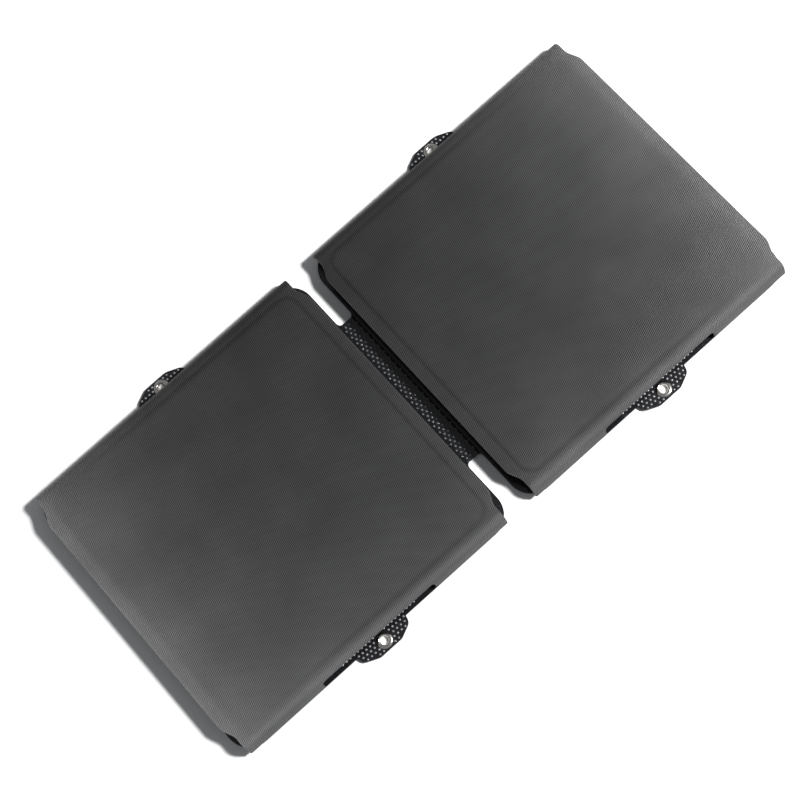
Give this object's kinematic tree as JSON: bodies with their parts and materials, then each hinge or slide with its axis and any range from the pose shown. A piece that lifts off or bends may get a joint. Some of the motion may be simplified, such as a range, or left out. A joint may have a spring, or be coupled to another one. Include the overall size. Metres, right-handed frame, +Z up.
{
  "type": "folding solar charger",
  "caption": "Folding two-panel solar charger with fabric-covered rigid backs, a dimpled laminate hinge web, eyelet tabs and a built-in USB charging module.",
  "frame": {"origin": "centre of the resting surface, under the middle of the fold line, with the charger unfolded and its cells down", "axes": "+X along the unfolded charger from the left panel to the right one, +Y across it, +Z up out of the back covers"},
  "size_m": [0.4148, 0.2116, 0.016],
  "materials": {
    "cover_fabric": "fine woven polyester, matte with a slight sheen",
    "cover_board": "matte moulded sheet",
    "foam": "closed-cell foam, matte",
    "laminate_back": "glossy dimpled film",
    "laminate_front": "clear dimpled film, semi-gloss",
    "backing": "matte glass-fibre board",
    "encapsulant": "tinted encapsulant",
    "silicon": "dark anti-reflective silicon",
    "copper": "tinned copper ribbon",
    "plated_steel": "polished plating",
    "module_plastic": "fine spark texture",
    "screw_steel": "plain steel",
    "circuit_board": "solder mask",
    "socket_steel": "nickel-plated sheet",
    "socket_plastic": "moulded insulator",
    "chip_plastic": "moulded epoxy",
    "ferrite": "pressed powder core",
    "capacitor_can": "satin can",
    "led_ceramic": "moulded white body",
    "clear_plastic": "clear light guide",
    "flap_rubber": "matte rubber",
    "lead_red": "silicone insulation",
    "lead_black": "silicone insulation",
    "solder": "solder"
  },
  "bodies": {
    "left_panel": {"left_cover_fabric": "cover_fabric", "left_cover_board": "cover_board", "left_foam_core": "foam", "left_back_film": "laminate_back", "left_backing_board": "backing", "left_encapsulant": "encapsulant", "left_solar_cells": "silicon", "left_cell_tabs": "copper", "left_bus_ribbons": "copper", "left_front_film": "laminate_front", "left_eyelets": "plated_steel", "left_eyelet_washers": "plated_steel", "hinge_web": "laminate_back", "hinge_conductors": "copper"},
    "right_panel": {"right_cover_fabric": "cover_fabric", "right_cover_board": "cover_board", "right_foam_core": "foam", "right_back_film": "laminate_back", "right_backing_board": "backing", "right_encapsulant": "encapsulant", "right_solar_cells": "silicon", "right_cell_tabs": "copper", "right_bus_ribbons": "copper", "right_front_film": "laminate_front", "right_eyelets": "plated_steel", "right_eyelet_washers": "plated_steel", "module_base": "module_plastic", "module_lid": "module_plastic", "module_screws": "screw_steel", "circuit_board": "circuit_board", "usb_a_shell": "socket_steel", "usb_a_tongue": "socket_plastic", "usb_c_shell": "socket_steel", "usb_c_tongue": "socket_plastic", "controller_chip": "chip_plastic", "power_inductor": "ferrite", "capacitors": "capacitor_can", "blocking_diode": "chip_plastic", "indicator_led": "led_ceramic", "light_pipe": "clear_plastic", "flap_pin": "screw_steel", "lead_positive": "lead_red", "lead_negative": "lead_black", "terminal_pads": "solder"},
    "port_flap": {"port_flap": "flap_rubber"}
  },
  "joints": [
    {"name": "fold", "type": "hinge", "parent": "left_panel", "child": "right_panel", "pos_m": [0, 0, -0.0005], "axis": [0, 1, 0], "range_deg": [-46, 180], "deforming": ["hinge_web", "hinge_conductors"]},
    {"name": "flap_hinge", "type": "hinge", "parent": "right_panel", "child": "port_flap", "pos_m": [0.2004, -0.004, 0.0042], "axis": [0, 1, 0], "range_deg": [0, 90]}
  ]
}
